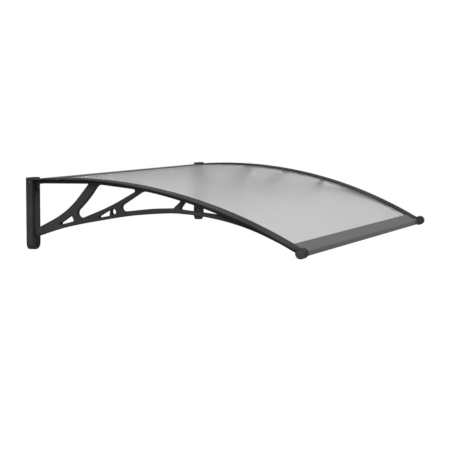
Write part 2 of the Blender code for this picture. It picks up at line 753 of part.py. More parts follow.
flat_stations = [station for station in screw_stations if station >= HAUNCH_REACH]
bm = bmesh.new()
sweep_along_arc(bm, rail_section(), LEG_DEPTH / 2, RAIL_END, rail_depth)
left_bracket_mesh = combine(
    "left_bracket",
    finish_mesh(bm, "rail"),
    [
        ("UNION", web_plate()),
        ("DIFFERENCE", seat_pocket()),
        ("DIFFERENCE", web_cutters()),
        ("UNION", screw_rods(screw_line, SEAT_DEPTH + OVERLAP, PAD_DEPTH, PAD_RADIUS, flat_stations)),
        ("DIFFERENCE", strip_screw_bores()),
        ("UNION", leg()),
        ("DIFFERENCE", leg_groove()),
        ("DIFFERENCE", bar_room()),
        ("UNION", nose()),
        ("DIFFERENCE", leg_bores()),
        ("DIFFERENCE", nose_socket()),
        ("DIFFERENCE", front_screw_bore()),
    ],
)
new_object("left_bracket", left_bracket_mesh, black_plastic)
new_object("right_bracket", mirrored(left_bracket_mesh, "right_bracket"), black_plastic)


# Cover strips: each clamps a side of the sheet, its bosses go through the sheet's holes
inner_edge = LEFT_FACE + BRACKET_WIDTH
groove_inner = inner_edge - SEAL_INSET + CLEARANCE
groove_outer = groove_inner - SEAL_WIDTH - 2 * CLEARANCE
groove_top = SHEET_TOP - CLEARANCE - SEAL_THICKNESS - CLEARANCE
shoulder_depth = STRIP_ROUND - STRIP_RISE
shoulder_left = circle((LEFT_FACE + STRIP_ROUND, shoulder_depth), STRIP_ROUND, 5, math.pi, 1.5 * math.pi)
shoulder_right = circle((inner_edge - STRIP_ROUND, shoulder_depth), STRIP_ROUND, 5, -math.pi / 2, 0.0)
crown = []
for share in (-0.6, -0.3, 0.0, 0.3, 0.6):
    crown.append((LEFT_FACE + BRACKET_WIDTH * (1 + share) / 2, -STRIP_RISE - STRIP_CROWN * (1 - share**2)))
strip_section = [
    (LEFT_FACE + STRIP_UNDERCUT, STRIP_THICKNESS),
    (LEFT_FACE, STRIP_THICKNESS - STRIP_UNDERCUT),
    *shoulder_left,
    *crown,
    *shoulder_right,
    (inner_edge, STRIP_THICKNESS),
    (groove_inner, STRIP_THICKNESS),
    (groove_inner, groove_top),
    (groove_outer, groove_top),
    (groove_outer, STRIP_THICKNESS),
]
lip_room_top = FRONT_TOP_DEPTH - CLEARANCE
lip_room_section = [
    (BAR_ROOM_START, lip_room_top),
    (inner_edge + OVERLAP, lip_room_top),
    (inner_edge + OVERLAP, SEAT_DEPTH),
    (BAR_ROOM_START, SEAT_DEPTH),
]
lip_room = bmesh.new()
sweep_along_arc(lip_room, lip_room_section, FRONT_LIP_EDGE - CLEARANCE, REACH)
bm = bmesh.new()
sweep_along_arc(bm, strip_section, STRIP_START, STRIP_END)
strip_mesh = combine(
    "left_clamp_strip",
    finish_mesh(bm, "strip"),
    [
        ("UNION", screw_rods(screw_line, STRIP_THICKNESS / 2, BOSS_END, BOSS_RADIUS)),
        ("DIFFERENCE", screw_rods(screw_line, STRIP_COVER, SEAT_DEPTH + OVERLAP, HOLE_RADIUS)),
        ("DIFFERENCE", finish_mesh(lip_room, "lip_room")),
    ],
)
new_object("left_clamp_strip", strip_mesh, black_plastic)
new_object("right_clamp_strip", mirrored(strip_mesh, "right_clamp_strip"), black_plastic)


# Seal strips: rubber cords in the strips' grooves, pressed on the sheet
seal_top = groove_top + CLEARANCE
seal_bottom = seal_top + SEAL_THICKNESS
seal_section = [
    (groove_outer + CLEARANCE, seal_top),
    (groove_inner - CLEARANCE, seal_top),
    (groove_inner - CLEARANCE, seal_bottom),
    (groove_outer + CLEARANCE, seal_bottom),
]
bm = bmesh.new()
sweep_along_arc(bm, seal_section, SHEET_START, FRONT_LIP_EDGE - CLEARANCE)
seal_mesh = finish_mesh(bm, "left_seal_strip")
new_object("left_seal_strip", seal_mesh, rubber)
new_object("right_seal_strip", mirrored(seal_mesh, "right_seal_strip"), rubber)


# Rear bar: a box with two lips that hold the sheet's rear edge
def port_arc(centre, start, end):
    return circle(centre, HOLE_RADIUS + PORT_WALL, 12, start, end)


rear_front = REAR_BACK + REAR_BOX_DEPTH
rear_lip_end = REAR_BACK + REAR_FLANGE_DEPTH
shelf_bottom = REAR_SHELF_TOP - REAR_SHELF
rear_bottom = REAR_TOP - REAR_HEIGHT
rear_outer = [
    (REAR_BACK, rear_bottom),
    (rear_front, rear_bottom),
    (rear_front, shelf_bottom),
    (rear_lip_end, shelf_bottom),
    (rear_lip_end, REAR_SHELF_TOP),
    (rear_front, REAR_SHELF_TOP),
    (rear_front, REAR_TOP - REAR_WALL),
    (rear_lip_end, REAR_TOP - REAR_WALL),
    (rear_lip_end, REAR_TOP),
    (REAR_BACK, REAR_TOP),
]
rear_port = (REAR_PORT_OUT, REAR_PORT_UP)
port_radius = HOLE_RADIUS + PORT_WALL
upper_angle = math.asin((REAR_SHELF_TOP - REAR_PORT_UP) / port_radius)
lower_angle = math.asin((shelf_bottom - REAR_PORT_UP) / port_radius)
upper_chamber = [
    (rear_front - REAR_WALL, REAR_SHELF_TOP),
    (rear_front - REAR_WALL, REAR_TOP - REAR_WALL),
    (REAR_BACK + REAR_WALL, REAR_TOP - REAR_WALL),
    (REAR_BACK + REAR_WALL, REAR_SHELF_TOP),
    *reversed(port_arc(rear_port, upper_angle, math.pi - upper_angle)),
]
lower_chamber = [
    (REAR_BACK + REAR_WALL, shelf_bottom),
    (REAR_BACK + REAR_WALL, rear_bottom + REAR_WALL),
    (rear_front - REAR_WALL, rear_bottom + REAR_WALL),
    (rear_front - REAR_WALL, shelf_bottom),
    *reversed(port_arc(rear_port, math.pi - lower_angle, 2 * math.pi + lower_angle)),
]
rear_channel = circle(rear_port, HOLE_RADIUS, SCREW_SIDES)
bm = bmesh.new()
extrude_outlines(bm, [rear_outer, upper_chamber, lower_chamber, rear_channel], -REAR_BAR_END, REAR_BAR_END)
new_object("rear_bar", finish_mesh(bm, "rear_bar"), aluminium)


# Wall seal: rubber between the rear bar and the wall
bm = bmesh.new()
seal_half = WALL_SEAL_HEIGHT / 2
seal_face = REAR_BACK - CLEARANCE
wall_seal = [(0.0, -seal_half), (seal_face, -seal_half), (seal_face, seal_half), (0.0, seal_half)]
extrude_outlines(bm, [wall_seal], -REAR_BAR_END, REAR_BAR_END)
new_object("wall_seal", finish_mesh(bm, "wall_seal"), rubber)


# Front bar: a box with two lips that hold the sheet's front edge
shelf_depth = SEAT_DEPTH
box_rear = FRONT_FACE - FRONT_BOX_DEPTH


def along_arc(start, end, depth, steps=3):
    """Points at one depth, at exact distances out from the wall."""
    outs = [start + (end - start) * step / steps for step in range(steps + 1)]
    return [(out, below_arc(out, depth)) for out in outs]


front_top = along_arc(FRONT_LIP_EDGE, FRONT_FACE, FRONT_TOP_DEPTH)
lip_underside = along_arc(FRONT_LIP_EDGE, box_rear, SHEET_TOP - CLEARANCE)
front_outer = rounded_outline(
    [
        *((out, up, 0.0) for out, up in front_top[:-1]),
        (*front_top[-1], FRONT_ROUND),
        (FRONT_FACE, FRONT_BOTTOM, FRONT_LIP / 2),
        (box_rear, FRONT_BOTTOM, FRONT_LIP / 2),
        (box_rear, below_arc(box_rear, shelf_depth + FRONT_WALL), 0.0),
        (FRONT_SHELF_EDGE, below_arc(FRONT_SHELF_EDGE, shelf_depth + FRONT_WALL), 0.0),
        (FRONT_SHELF_EDGE, below_arc(FRONT_SHELF_EDGE, shelf_depth), 0.0),
        (box_rear, below_arc(box_rear, shelf_depth), 0.0),
        *((out, up, 0.0) for out, up in reversed(lip_underside)),
    ]
)
front_port = (FRONT_PORT_OUT, FRONT_PORT_UP)
chamber_rear = box_rear + FRONT_WALL
chamber_front = FRONT_FACE - FRONT_WALL
chamber_bottom = FRONT_BOTTOM + FRONT_WALL
front_chamber = [
    (chamber_rear, chamber_bottom),
    (chamber_front, chamber_bottom),
    *reversed(port_arc(front_port, math.radians(155), math.radians(302))),
    (chamber_rear, below_arc(chamber_rear, SHEET_TOP - CLEARANCE)),
]
front_channel = circle(front_port, HOLE_RADIUS, SCREW_SIDES)
bm = bmesh.new()
extrude_outlines(bm, [front_outer, front_chamber, front_channel], -FRONT_BAR_END, FRONT_BAR_END)
new_object("front_bar", finish_mesh(bm, "front_bar"), aluminium)


# Nose caps: discs pressed into the noses, over the front bar's screws
cap_profile = [
    (CAP_RADIUS - CAP_ROUND, 0.0),
    (CAP_RADIUS - 0.3 * CAP_ROUND, 0.3 * CAP_ROUND),
    (CAP_RADIUS, CAP_ROUND),
    (CAP_RADIUS, CAP_LENGTH),
]
bm = bmesh.new()
add_turned(bm, cap_profile, 2 * ROUND_SIDES, Matrix.Identity(4))
cap_mesh = finish_mesh(bm, "nose_cap")
cap_face = WIDTH / 2 + CAP_PROUD
for name, side in (("left_nose_cap", -1), ("right_nose_cap", 1)):
    place = (side * cap_face, -NOSE_OUT, NOSE_UP)
    new_object(name, cap_mesh, black_plastic, place, (0.0, -side * math.pi / 2, 0.0))


# Screws: pan heads, driven into the strips' bosses and into the bars' channels
def screw_mesh(name, length):
    """Screw whose head rests at height 0 and whose shank goes up along Z."""
    profile = [
        (0.55 * SCREW_HEAD_RADIUS, -SCREW_HEAD_HEIGHT),
        (0.85 * SCREW_HEAD_RADIUS, -0.85 * SCREW_HEAD_HEIGHT),
        (SCREW_HEAD_RADIUS, -0.5 * SCREW_HEAD_HEIGHT),
        (SCREW_HEAD_RADIUS, 0.0),
        (SCREW_RADIUS, 0.0),
        (SCREW_RADIUS, length - SCREW_RADIUS),
        (0.4 * SCREW_RADIUS, length),
    ]
    bm = bmesh.new()
    add_turned(bm, profile, SCREW_SIDES, Matrix.Identity(4))
    return finish_mesh(bm, name)


strip_screw_length = PAD_DEPTH - STRIP_COVER - CLEARANCE
strip_screw = screw_mesh("strip_screw", strip_screw_length)
for side_name, side in (("left", -1), ("right", 1)):
    for number, station in enumerate(screw_stations, 1):
        out, up = under_arc(station, PAD_DEPTH + CLEARANCE)
        place = (side * abs(screw_line), -out, up)
        name = f"{side_name}_strip_screw_{number}"
        new_object(name, strip_screw, steel, place, (arc_angle(station), 0.0, 0.0))

rear_screw = screw_mesh("rear_bar_screw", BRACKET_WIDTH - REAR_SINK_DEPTH + REAR_SCREW_BITE)
front_screw = screw_mesh("front_bar_screw", NOSE_FLOOR + FRONT_SCREW_BITE)
rear_head = WIDTH / 2 - REAR_SINK_DEPTH + CLEARANCE
front_head = WIDTH / 2 - NOSE_LENGTH + NOSE_FLOOR + CLEARANCE
for side_name, side in (("left", -1), ("right", 1)):
    turn = (0.0, -side * math.pi / 2, 0.0)
    rear_place = (side * rear_head, -REAR_PORT_OUT, REAR_PORT_UP)
    front_place = (side * front_head, -FRONT_PORT_OUT, FRONT_PORT_UP)
    new_object(f"{side_name}_rear_bar_screw", rear_screw, steel, rear_place, turn)
    new_object(f"{side_name}_front_bar_screw", front_screw, steel, front_place, turn)
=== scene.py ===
import math

import bmesh
import bpy
from mathutils import Matrix, Vector


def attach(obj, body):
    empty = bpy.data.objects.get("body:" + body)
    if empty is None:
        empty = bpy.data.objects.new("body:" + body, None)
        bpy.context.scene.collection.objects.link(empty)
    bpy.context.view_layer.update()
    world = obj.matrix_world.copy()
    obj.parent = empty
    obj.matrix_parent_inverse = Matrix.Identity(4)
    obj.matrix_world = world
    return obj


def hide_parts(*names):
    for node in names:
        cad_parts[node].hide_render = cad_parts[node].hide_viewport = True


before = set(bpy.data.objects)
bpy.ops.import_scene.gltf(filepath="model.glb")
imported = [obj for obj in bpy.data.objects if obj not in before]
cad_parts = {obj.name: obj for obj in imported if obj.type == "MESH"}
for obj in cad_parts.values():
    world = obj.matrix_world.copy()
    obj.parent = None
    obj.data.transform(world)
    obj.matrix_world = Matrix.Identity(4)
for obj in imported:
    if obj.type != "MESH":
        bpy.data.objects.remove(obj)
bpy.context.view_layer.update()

# Brackets: two lattice arms, each moulded in one piece from black glass-filled plastic,
# with the rail, the web of struts, the wall leg and the nose. The mould leaves softened edges,
# a fine eroded grain, and a flow pattern that makes some stretches a little shinier than others.
PLASTIC_DARK = (0.0320, 0.0320, 0.0330, 1.0)
PLASTIC_WORN = (0.0440, 0.0440, 0.0450, 1.0)
PLASTIC_GRAIN = 1400.0  # bumps per metre
PLASTIC_FLOW = 9.0
PLASTIC_GLOSS = 0.012
WELD_DISTANCE = 0.00001  # points closer than this are one
FLAT_ANGLE = math.radians(0.2)  # faces that turn less than this are one


class Value:
    """An output of a shader node, so that sums on it are written as Python expressions."""

    def __init__(self, finish, socket):
        self.finish = finish
        self.socket = socket

    def sum(self, operation, first, second):
        return self.finish.node("ShaderNodeMath", {"operation": operation}, {0: first, 1: second})

    def __add__(self, other):
        return self.sum("ADD", self, other)

    def __sub__(self, other):
        return self.sum("SUBTRACT", self, other)

    def __mul__(self, other):
        return self.sum("MULTIPLY", self, other)

    __radd__ = __add__
    __rmul__ = __mul__


class Finish:
    """The material of one group of pieces, with the nodes that make its surface."""

    def __init__(self, name):
        self.material = bpy.data.materials.new(name)
        self.material.use_nodes = True
        self.tree = self.material.node_tree
        self.shader = self.tree.nodes["Principled BSDF"]
        self.place = self.node("ShaderNodeTexCoord", output="Object")

    def node(self, kind, settings=None, values=None, output=0):
        """Adds a node, sets it, feeds its sockets and returns one of its outputs."""
        node = self.tree.nodes.new(kind)
        for name, value in (settings or {}).items():
            setattr(node, name, value)
        for name, value in (values or {}).items():
            self.feed(node.inputs[name], value)
        return Value(self, node.outputs[output])

    def feed(self, socket, value):
        if isinstance(value, Value):
            self.tree.links.new(value.socket, socket)
        else:
            socket.default_value = value

    def set(self, **values):
        """Feeds the shader's sockets; an underscore stands for a space."""
        for name, value in values.items():
            self.feed(self.shader.inputs[name.replace("_", " ")], value)

    def noise(self, scale, detail=2.0, stretch=(1.0, 1.0, 1.0)):
        """Noise from 0 to 1 with this many bumps per metre, times the stretch along each axis."""
        place = self.node("ShaderNodeMapping", None, {"Vector": self.place, "Scale": stretch})
        values = {"Vector": place, "Scale": scale, "Detail": detail}
        return self.node("ShaderNodeTexNoise", None, values, "Fac")

    def stretch(self, value, low, high):
        """Spreads the part of a value between two levels over 0 to 1."""
        values = {"Value": value, "From Min": low, "From Max": high}
        return self.node("ShaderNodeMapRange", {"interpolation_type": "SMOOTHSTEP"}, values)

    def mix(self, share, first, second):
        """Colour between two colours."""
        return self.node("ShaderNodeMix", {"data_type": "RGBA"}, {0: share, 6: first, 7: second}, 2)

    def bump(self, height, strength, depth):
        values = {"Height": height, "Strength": strength, "Distance": depth}
        return self.node("ShaderNodeBump", None, values, "Normal")


def merged_copy(node):
    """A mesh with the node's shape, its loose triangles joined and its flat faces made whole."""
    bm = bmesh.new()
    bm.from_mesh(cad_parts[node].data)
    bmesh.ops.remove_doubles(bm, verts=bm.verts, dist=WELD_DISTANCE)
    bmesh.ops.dissolve_limit(bm, angle_limit=FLAT_ANGLE, verts=bm.verts, edges=bm.edges)
    return bm


def add_object(name, data):
    """Makes an object around this data and puts it in the scene."""
    made = bpy.data.objects.new(name, data)
    bpy.context.scene.collection.objects.link(made)
    return made


def add_piece(name, bm, finish, node, crease):
    """Puts a mesh in the scene as the piece that stands for a node."""
    mesh = bpy.data.meshes.new(name)
    bm.to_mesh(mesh)
    bm.free()
    mesh.shade_smooth()
    mesh.set_sharp_from_angle(angle=math.radians(crease))
    mesh.materials.append(finish.material)
    piece = add_object(name, mesh)
    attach(piece, "root")
    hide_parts(node)
    return piece


def even_normals(piece):
    """Keeps flat faces flat and lets only the rounded ones carry the curve."""
    piece.modifiers.new("even_normals", "WEIGHTED_NORMAL").keep_sharp = True


def moulded_plastic(name, dark, worn):
    """Black plastic whose colour and gloss wander between two levels with the flow of the melt."""
    finish = Finish(name)
    grain = finish.noise(PLASTIC_GRAIN, 3.0)
    flow = finish.stretch(finish.noise(PLASTIC_FLOW, 4.0), 0.35, 0.70)
    finish.set(
        Base_Color=finish.mix(flow, dark, worn),
        Roughness=0.52 + 0.16 * grain - 0.06 * flow,
        Specular_IOR_Level=PLASTIC_GLOSS,
        Normal=finish.bump(grain, 0.30, 0.0002),
    )
    return finish


plastic = moulded_plastic("black_moulded_plastic", PLASTIC_DARK, PLASTIC_WORN)

for side in ("left", "right"):
    node = f"{side}_bracket"
    bm = merged_copy(node)
    bracket = add_piece(f"{side}_lattice_bracket", bm, plastic, node, crease=50.0)
    even_normals(bracket)

# Cover strips: black plastic strips that are screwed down on the sheet's two sides from below.
# They are moulded with the same grain, slightly crowned, with round shoulders and bosses for the screws.
for side in ("left", "right"):
    node = f"{side}_clamp_strip"
    bm = merged_copy(node)
    strip = add_piece(f"{side}_cover_strip", bm, plastic, node, crease=35.0)
    even_normals(strip)

# Sheet: one panel of frosted polycarbonate, cut from flat stock and bent over the brackets' arc.
# It scatters what is behind it, more where the haze is denser, and its colour is painted darker at the
# rear and lighter towards the front, as painted shade and painted light.
ARC_RADIUS = 1.352
ARC_CENTRE = (0.0, -0.12042, -1.33923)
SHEET_HALF_WIDTH = 0.5817
SHEET_DEPTHS = (0.0035, 0.0065)
SHEET_OUTS = (0.0190, 0.7680)
SHEET_EDGE = 0.0004
SHEET_CLAMPED = 0.5550  # beyond this, the cover strips hide the sheet and its holes
SHEET_STEPS = 72
# Painted shade for the sheet's rear and painted light for its front.
SHEET_SHADED_REAR = (0.49, 0.49, 0.49, 1.0)
SHEET_LIT_FRONT = (0.60, 0.60, 0.60, 1.0)
PAINTED_SHADE_OUT = 0.10  # the painted shade at the rear turns into painted light at the front from this far out to the next distance
PAINTED_LIGHT_OUT = 0.50
SCREW_OUTS = (0.0900, 0.2375, 0.3850, 0.5325, 0.6800)
SCREW_LINE = 0.5638
SHEET_HOLE_RADIUS = 0.0040
HOLE_CUTTER_LENGTH = 0.020


def arc_angle(out):
    """Angle of the arc's normal from upright, this far out from the wall."""
    return math.asin((out + ARC_CENTRE[1]) / ARC_RADIUS)


def under_arc(x, out, depth):
    """The point this deep under the arc, on its normal."""
    angle = arc_angle(out)
    reach = ARC_RADIUS - depth
    return Vector((x, ARC_CENTRE[1] - reach * math.sin(angle), ARC_CENTRE[2] + reach * math.cos(angle)))


def upright_on_arc(x, out, depth):
    """The same place as a matrix, its Z along the arc's normal."""
    return Matrix.Translation(under_arc(x, out, depth)) @ Matrix.Rotation(arc_angle(out), 4, "X")


def facing_in(sign, x, y, z):
    """A place on one side of the canopy as a matrix, its Z pointing inwards."""
    return Matrix.Translation((sign * x, y, z)) @ Matrix.Rotation(-sign * math.pi / 2, 4, "Y")


def bend_section(bm, corners, outs, steps):
    """Closed bar along the arc through (x, depth, rounding) corners, between two distances out."""
    verts = [bm.verts.new(under_arc(x, outs[0], depth)) for x, depth, _ in corners]
    bm.faces.new(verts)
    for vert, (_, _, rounding) in zip(verts, corners):
        if rounding:
            bmesh.ops.bevel(
                bm, geom=[vert], offset=rounding, segments=3, profile=0.5, affect="VERTICES", material=-1
            )
    bmesh.ops.delete(bm, geom=bm.faces[:], context="FACES_ONLY")
    turn = arc_angle(outs[1]) - arc_angle(outs[0])
    bmesh.ops.spin(
        bm, geom=bm.verts[:] + bm.edges[:], cent=ARC_CENTRE, axis=(1.0, 0.0, 0.0), angle=turn, steps=steps
    )
    bmesh.ops.holes_fill(bm, edges=[edge for edge in bm.edges if edge.is_boundary])
    bmesh.ops.recalc_face_normals(bm, faces=bm.faces)


def carve(piece, cutter_bm):
    """Cuts a helper's shape out of a piece and keeps the result as its mesh."""
    cutter_mesh = bpy.data.meshes.new("cutter")
    cutter_bm.to_mesh(cutter_mesh)
    cutter_bm.free()
    cutter = add_object("cutter", cutter_mesh)
    modifier = piece.modifiers.new("cut", "BOOLEAN")
    modifier.operation = "DIFFERENCE"
    modifier.solver = "EXACT"
    modifier.use_self = True
    modifier.object = cutter
    graph = bpy.context.evaluated_depsgraph_get()
    carved = bpy.data.meshes.new_from_object(piece.evaluated_get(graph))
    piece.modifiers.clear()
    piece.data = carved
    bpy.data.objects.remove(cutter)


frosted = Finish("frosted_polycarbonate")
frost = frosted.noise(520.0, 3.0)
haze = frosted.stretch(frosted.noise(5.0, 3.0), 0.30, 0.70)
depth = frosted.node("ShaderNodeSeparateXYZ", None, {"Vector": frosted.place}, "Y")
# Painted light: the sheet's colour lightens from the rear towards the front, mixed with some random haze.
painted_front_light = frosted.stretch(depth, -PAINTED_SHADE_OUT, -PAINTED_LIGHT_OUT)
frosted.set(
    Base_Color=frosted.mix(0.8 * painted_front_light + 0.2 * haze, SHEET_SHADED_REAR, SHEET_LIT_FRONT),
    Roughness=0.42 + 0.02 * frost + 0.02 * haze,
    Transmission_Weight=0.85,
    IOR=1.03,
    Normal=frosted.bump(frost, 0.02, 0.0002),
)

bm = bmesh.new()
sheet_corners = [
    (-SHEET_HALF_WIDTH, SHEET_DEPTHS[0], SHEET_EDGE),
    (SHEET_HALF_WIDTH, SHEET_DEPTHS[0], SHEET_EDGE),
    (SHEET_HALF_WIDTH, SHEET_DEPTHS[1], SHEET_EDGE),
    (-SHEET_HALF_WIDTH, SHEET_DEPTHS[1], SHEET_EDGE),
]
bend_section(bm, sheet_corners, SHEET_OUTS, SHEET_STEPS)
for x in (-SHEET_CLAMPED, SHEET_CLAMPED):
    everything = bm.verts[:] + bm.edges[:] + bm.faces[:]
    bmesh.ops.bisect_plane(bm, geom=everything, plane_co=(x, 0.0, 0.0), plane_no=(1.0, 0.0, 0.0))
sheet = add_piece("bent_sheet", bm, frosted, "polycarbonate_sheet", crease=40.0)
bm = bmesh.new()
for out in SCREW_OUTS:
    for x in (-SCREW_LINE, SCREW_LINE):
        bmesh.ops.create_cone(
            bm,
            cap_ends=True,
            segments=24,
            radius1=SHEET_HOLE_RADIUS,
            radius2=SHEET_HOLE_RADIUS,
            depth=HOLE_CUTTER_LENGTH,
            matrix=upright_on_arc(x, out, SHEET_DEPTHS[0]),
        )
carve(sheet, bm)

# Seal strips: soft black rubber cords in grooves under the cover strips, pressed on the sheet.
# Each is extruded with a rounded lip, matt, with a bloom of fine dust.
SEAL_INNER = 0.5544
SEAL_WIDTH = 0.0026
SEAL_DEPTHS = (0.0021, 0.0032)
SEAL_OUTS = (0.0190, 0.7505)
SEAL_EDGE = 0.0003
SEAL_LIP = 0.0005
RUBBER_CLEAN = (0.012, 0.012, 0.012, 1.0)
RUBBER_DUSTY = (0.024, 0.024, 0.023, 1.0)

rubber = Finish("black_rubber")
rubber_grain = rubber.noise(1500.0, 2.0)
rubber_bloom = rubber.stretch(rubber.noise(30.0, 3.0), 0.40, 0.75)
rubber.set(
    Base_Color=rubber.mix(rubber_bloom, RUBBER_CLEAN, RUBBER_DUSTY),
    Roughness=0.72 + 0.12 * rubber_grain,
    Specular_IOR_Level=0.30,
    Normal=rubber.bump(rubber_grain, 0.30, 0.0002),
)
for side, sign in (("left", -1), ("right", 1)):
    bm = bmesh.new()
    near = sign * SEAL_INNER
    far = sign * (SEAL_INNER + SEAL_WIDTH)
    seal_corners = [
        (near, SEAL_DEPTHS[0], SEAL_EDGE),
        (far, SEAL_DEPTHS[0], SEAL_EDGE),
        (far, SEAL_DEPTHS[1], SEAL_LIP),
        (near, SEAL_DEPTHS[1], SEAL_LIP),
    ]
    bend_section(bm, seal_corners, SEAL_OUTS, SHEET_STEPS)
    add_piece(f"{side}_rubber_cord", bm, rubber, f"{side}_seal_strip", crease=40.0)

# Bars: extruded aluminium profiles between the brackets, one on the wall and one along the front edge.
# They are anodised grey, and the press leaves fine lines along them.
BAR_LINES = 900.0  # per metre across the bar
BAR_DARK = (0.082, 0.082, 0.083, 1.0)
BAR_PALE = (0.110, 0.110, 0.111, 1.0)

anodised = Finish("grey_anodised_aluminium")
press_lines = anodised.noise(BAR_LINES, 2.0, (0.003, 1.0, 1.0))
bar_patches = anodised.stretch(anodised.noise(6.0, 3.0, (0.4, 1.0, 1.0)), 0.35, 0.70)
anodised.set(
    Base_Color=anodised.mix(0.6 * press_lines + 0.4 * bar_patches, BAR_DARK, BAR_PALE),
    Metallic=0.20,
    Roughness=0.44 + 0.10 * press_lines + 0.05 * bar_patches,
    Specular_IOR_Level=0.05,
    Normal=anodised.bump(press_lines, 0.18, 0.0002),
)
for name, node in (("wall_bar", "rear_bar"), ("edge_bar", "front_bar")):
    bm = merged_copy(node)
    bar = add_piece(name, bm, anodised, node, crease=35.0)
    even_normals(bar)

# Wall seal: a rubber gasket behind the rear bar, which keeps rain from running down the wall.
# It is extruded with three round ribs that flatten on rough plaster.
GASKET_HALF_LENGTH = 0.5527
GASKET_BACK = 0.0020
GASKET_HALF_HEIGHT = 0.0050
GASKET_RIBS = (-0.0035, 0.0, 0.0035)
RIB_FOOT = 0.0014  # half a rib's height, where it leaves the gasket
RIB_TIP = 0.0009
RIB_RISE = 0.0006
RIB_ROUND = 0.0003

bm = bmesh.new()
outline = [(-GASKET_BACK, GASKET_HALF_HEIGHT), (-GASKET_BACK, -GASKET_HALF_HEIGHT)]
for middle in GASKET_RIBS:
    outline.append((-RIB_RISE, middle - RIB_FOOT))
    outline.append((0.0, middle - RIB_TIP))
    outline.append((0.0, middle + RIB_TIP))
    outline.append((-RIB_RISE, middle + RIB_FOOT))
corners = [bm.verts.new((-GASKET_HALF_LENGTH, y, z)) for y, z in outline]
bm.faces.new(corners)
bmesh.ops.bevel(
    bm, geom=corners[2:], offset=RIB_ROUND, segments=3, profile=0.5, affect="VERTICES", material=-1
)
extruded = bmesh.ops.extrude_face_region(bm, geom=bm.faces[:], use_keep_orig=True)["geom"]
far_end = [item for item in extruded if isinstance(item, bmesh.types.BMVert)]
bmesh.ops.translate(bm, vec=(2 * GASKET_HALF_LENGTH, 0.0, 0.0), verts=far_end)
bmesh.ops.recalc_face_normals(bm, faces=bm.faces)
add_piece("wall_gasket", bm, rubber, "wall_seal", crease=40.0)

# Nose caps: round black plastic discs, pressed into the noses over the front bar's screws.
# Each is turned out of the mould with a rounded rim, a shallow ring and a slightly domed middle.
CAP_RADIUS = 0.0115
CAP_FACE = 0.6008
CAP_LENGTH = 0.0060
NOSE_PLACE = (-0.7860, -0.16521)
CAP_DARK = (0.0450, 0.0450, 0.0460, 1.0)
CAP_WORN = (0.0640, 0.0640, 0.0650, 1.0)
CAP_PROFILE = (
    (0.0, 0.0002),
    (0.0040, 0.0003),
    (0.0074, 0.0007),
    (0.0080, 0.0011),
    (0.0088, 0.0011),
    (0.0092, 0.0006),
    (0.0100, 0.0001),
    (0.0108, 0.0002),
    (CAP_RADIUS, 0.0009),
    (CAP_RADIUS, CAP_LENGTH),
    (0.0, CAP_LENGTH),
)


def turn_profile(bm, profile, steps):
    """Round body about Z through (radius, height) points, the first and last on the axis."""
    verts = [bm.verts.new((radius, 0.0, height)) for radius, height in profile]
    edges = [bm.edges.new(pair) for pair in zip(verts, verts[1:])]
    bmesh.ops.spin(
        bm,
        geom=verts + edges,
        cent=(0.0, 0.0, 0.0),
        axis=(0.0, 0.0, 1.0),
        angle=2 * math.pi,
        steps=steps,
        use_merge=True,
    )
    bmesh.ops.remove_doubles(bm, verts=bm.verts, dist=WELD_DISTANCE)
    bmesh.ops.recalc_face_normals(bm, faces=bm.faces)


cap_plastic = moulded_plastic("black_cap_plastic", CAP_DARK, CAP_WORN)
for side, sign in (("left", -1), ("right", 1)):
    bm = bmesh.new()
    turn_profile(bm, CAP_PROFILE, 64)
    bm.transform(facing_in(sign, CAP_FACE, *NOSE_PLACE))
    add_piece(f"{side}_cap_disc", bm, cap_plastic, f"{side}_nose_cap", crease=60.0)

# Screws: steel pan heads with a cross recess, black passivated, driven from below into the strips' bosses
# and from the sides into the bars' channels.
HEAD_RADIUS = 0.0034
HEAD_HEIGHT = 0.0022
SHANK_RADIUS = 0.0019
RECESS_WIDTH = 0.0009
RECESS_SPAN = 0.0038
RECESS_DEPTH = 0.0012
RECESS_TAPER = 0.55  # the arms' width at their floor, as a share of that at the face
STRIP_SCREW_DEPTH = 0.0125
STRIP_SCREW_LENGTH = 0.0105
REAR_SCREW = (0.5973, -0.0091, 0.0013, 0.0590)  # place of the head's underside, and the length under it
FRONT_SCREW = (0.5833, -0.7806, -0.16593, 0.0220)
SCREW_CREASE = 35.0
STEEL_DARK = (0.055, 0.055, 0.058, 1.0)
STEEL_WORN = (0.110, 0.108, 0.105, 1.0)

screw_steel = Finish("black_passivated_steel")
passivation = screw_steel.noise(900.0, 3.0)
screw_steel.set(
    Base_Color=screw_steel.mix(passivation, STEEL_DARK, STEEL_WORN),
    Metallic=0.9,
    Roughness=0.38 + 0.14 * passivation,
    Normal=screw_steel.bump(passivation, 0.15, 0.0001),
)


def screw_body(length):
    """A screw whose head rests at height 0 below, its shank going up along Z."""
    profile = (
        (0.0, -HEAD_HEIGHT),
        (0.45 * HEAD_RADIUS, -0.98 * HEAD_HEIGHT),
        (0.75 * HEAD_RADIUS, -0.86 * HEAD_HEIGHT),
        (0.93 * HEAD_RADIUS, -0.62 * HEAD_HEIGHT),
        (HEAD_RADIUS, -0.30 * HEAD_HEIGHT),
        (0.98 * HEAD_RADIUS, 0.0),
        (SHANK_RADIUS, 0.0),
        (SHANK_RADIUS, length - SHANK_RADIUS),
        (0.4 * SHANK_RADIUS, length - 0.3 * SHANK_RADIUS),
        (0.0, length),
    )
    bm = bmesh.new()
    turn_profile(bm, profile, 32)
    return bm


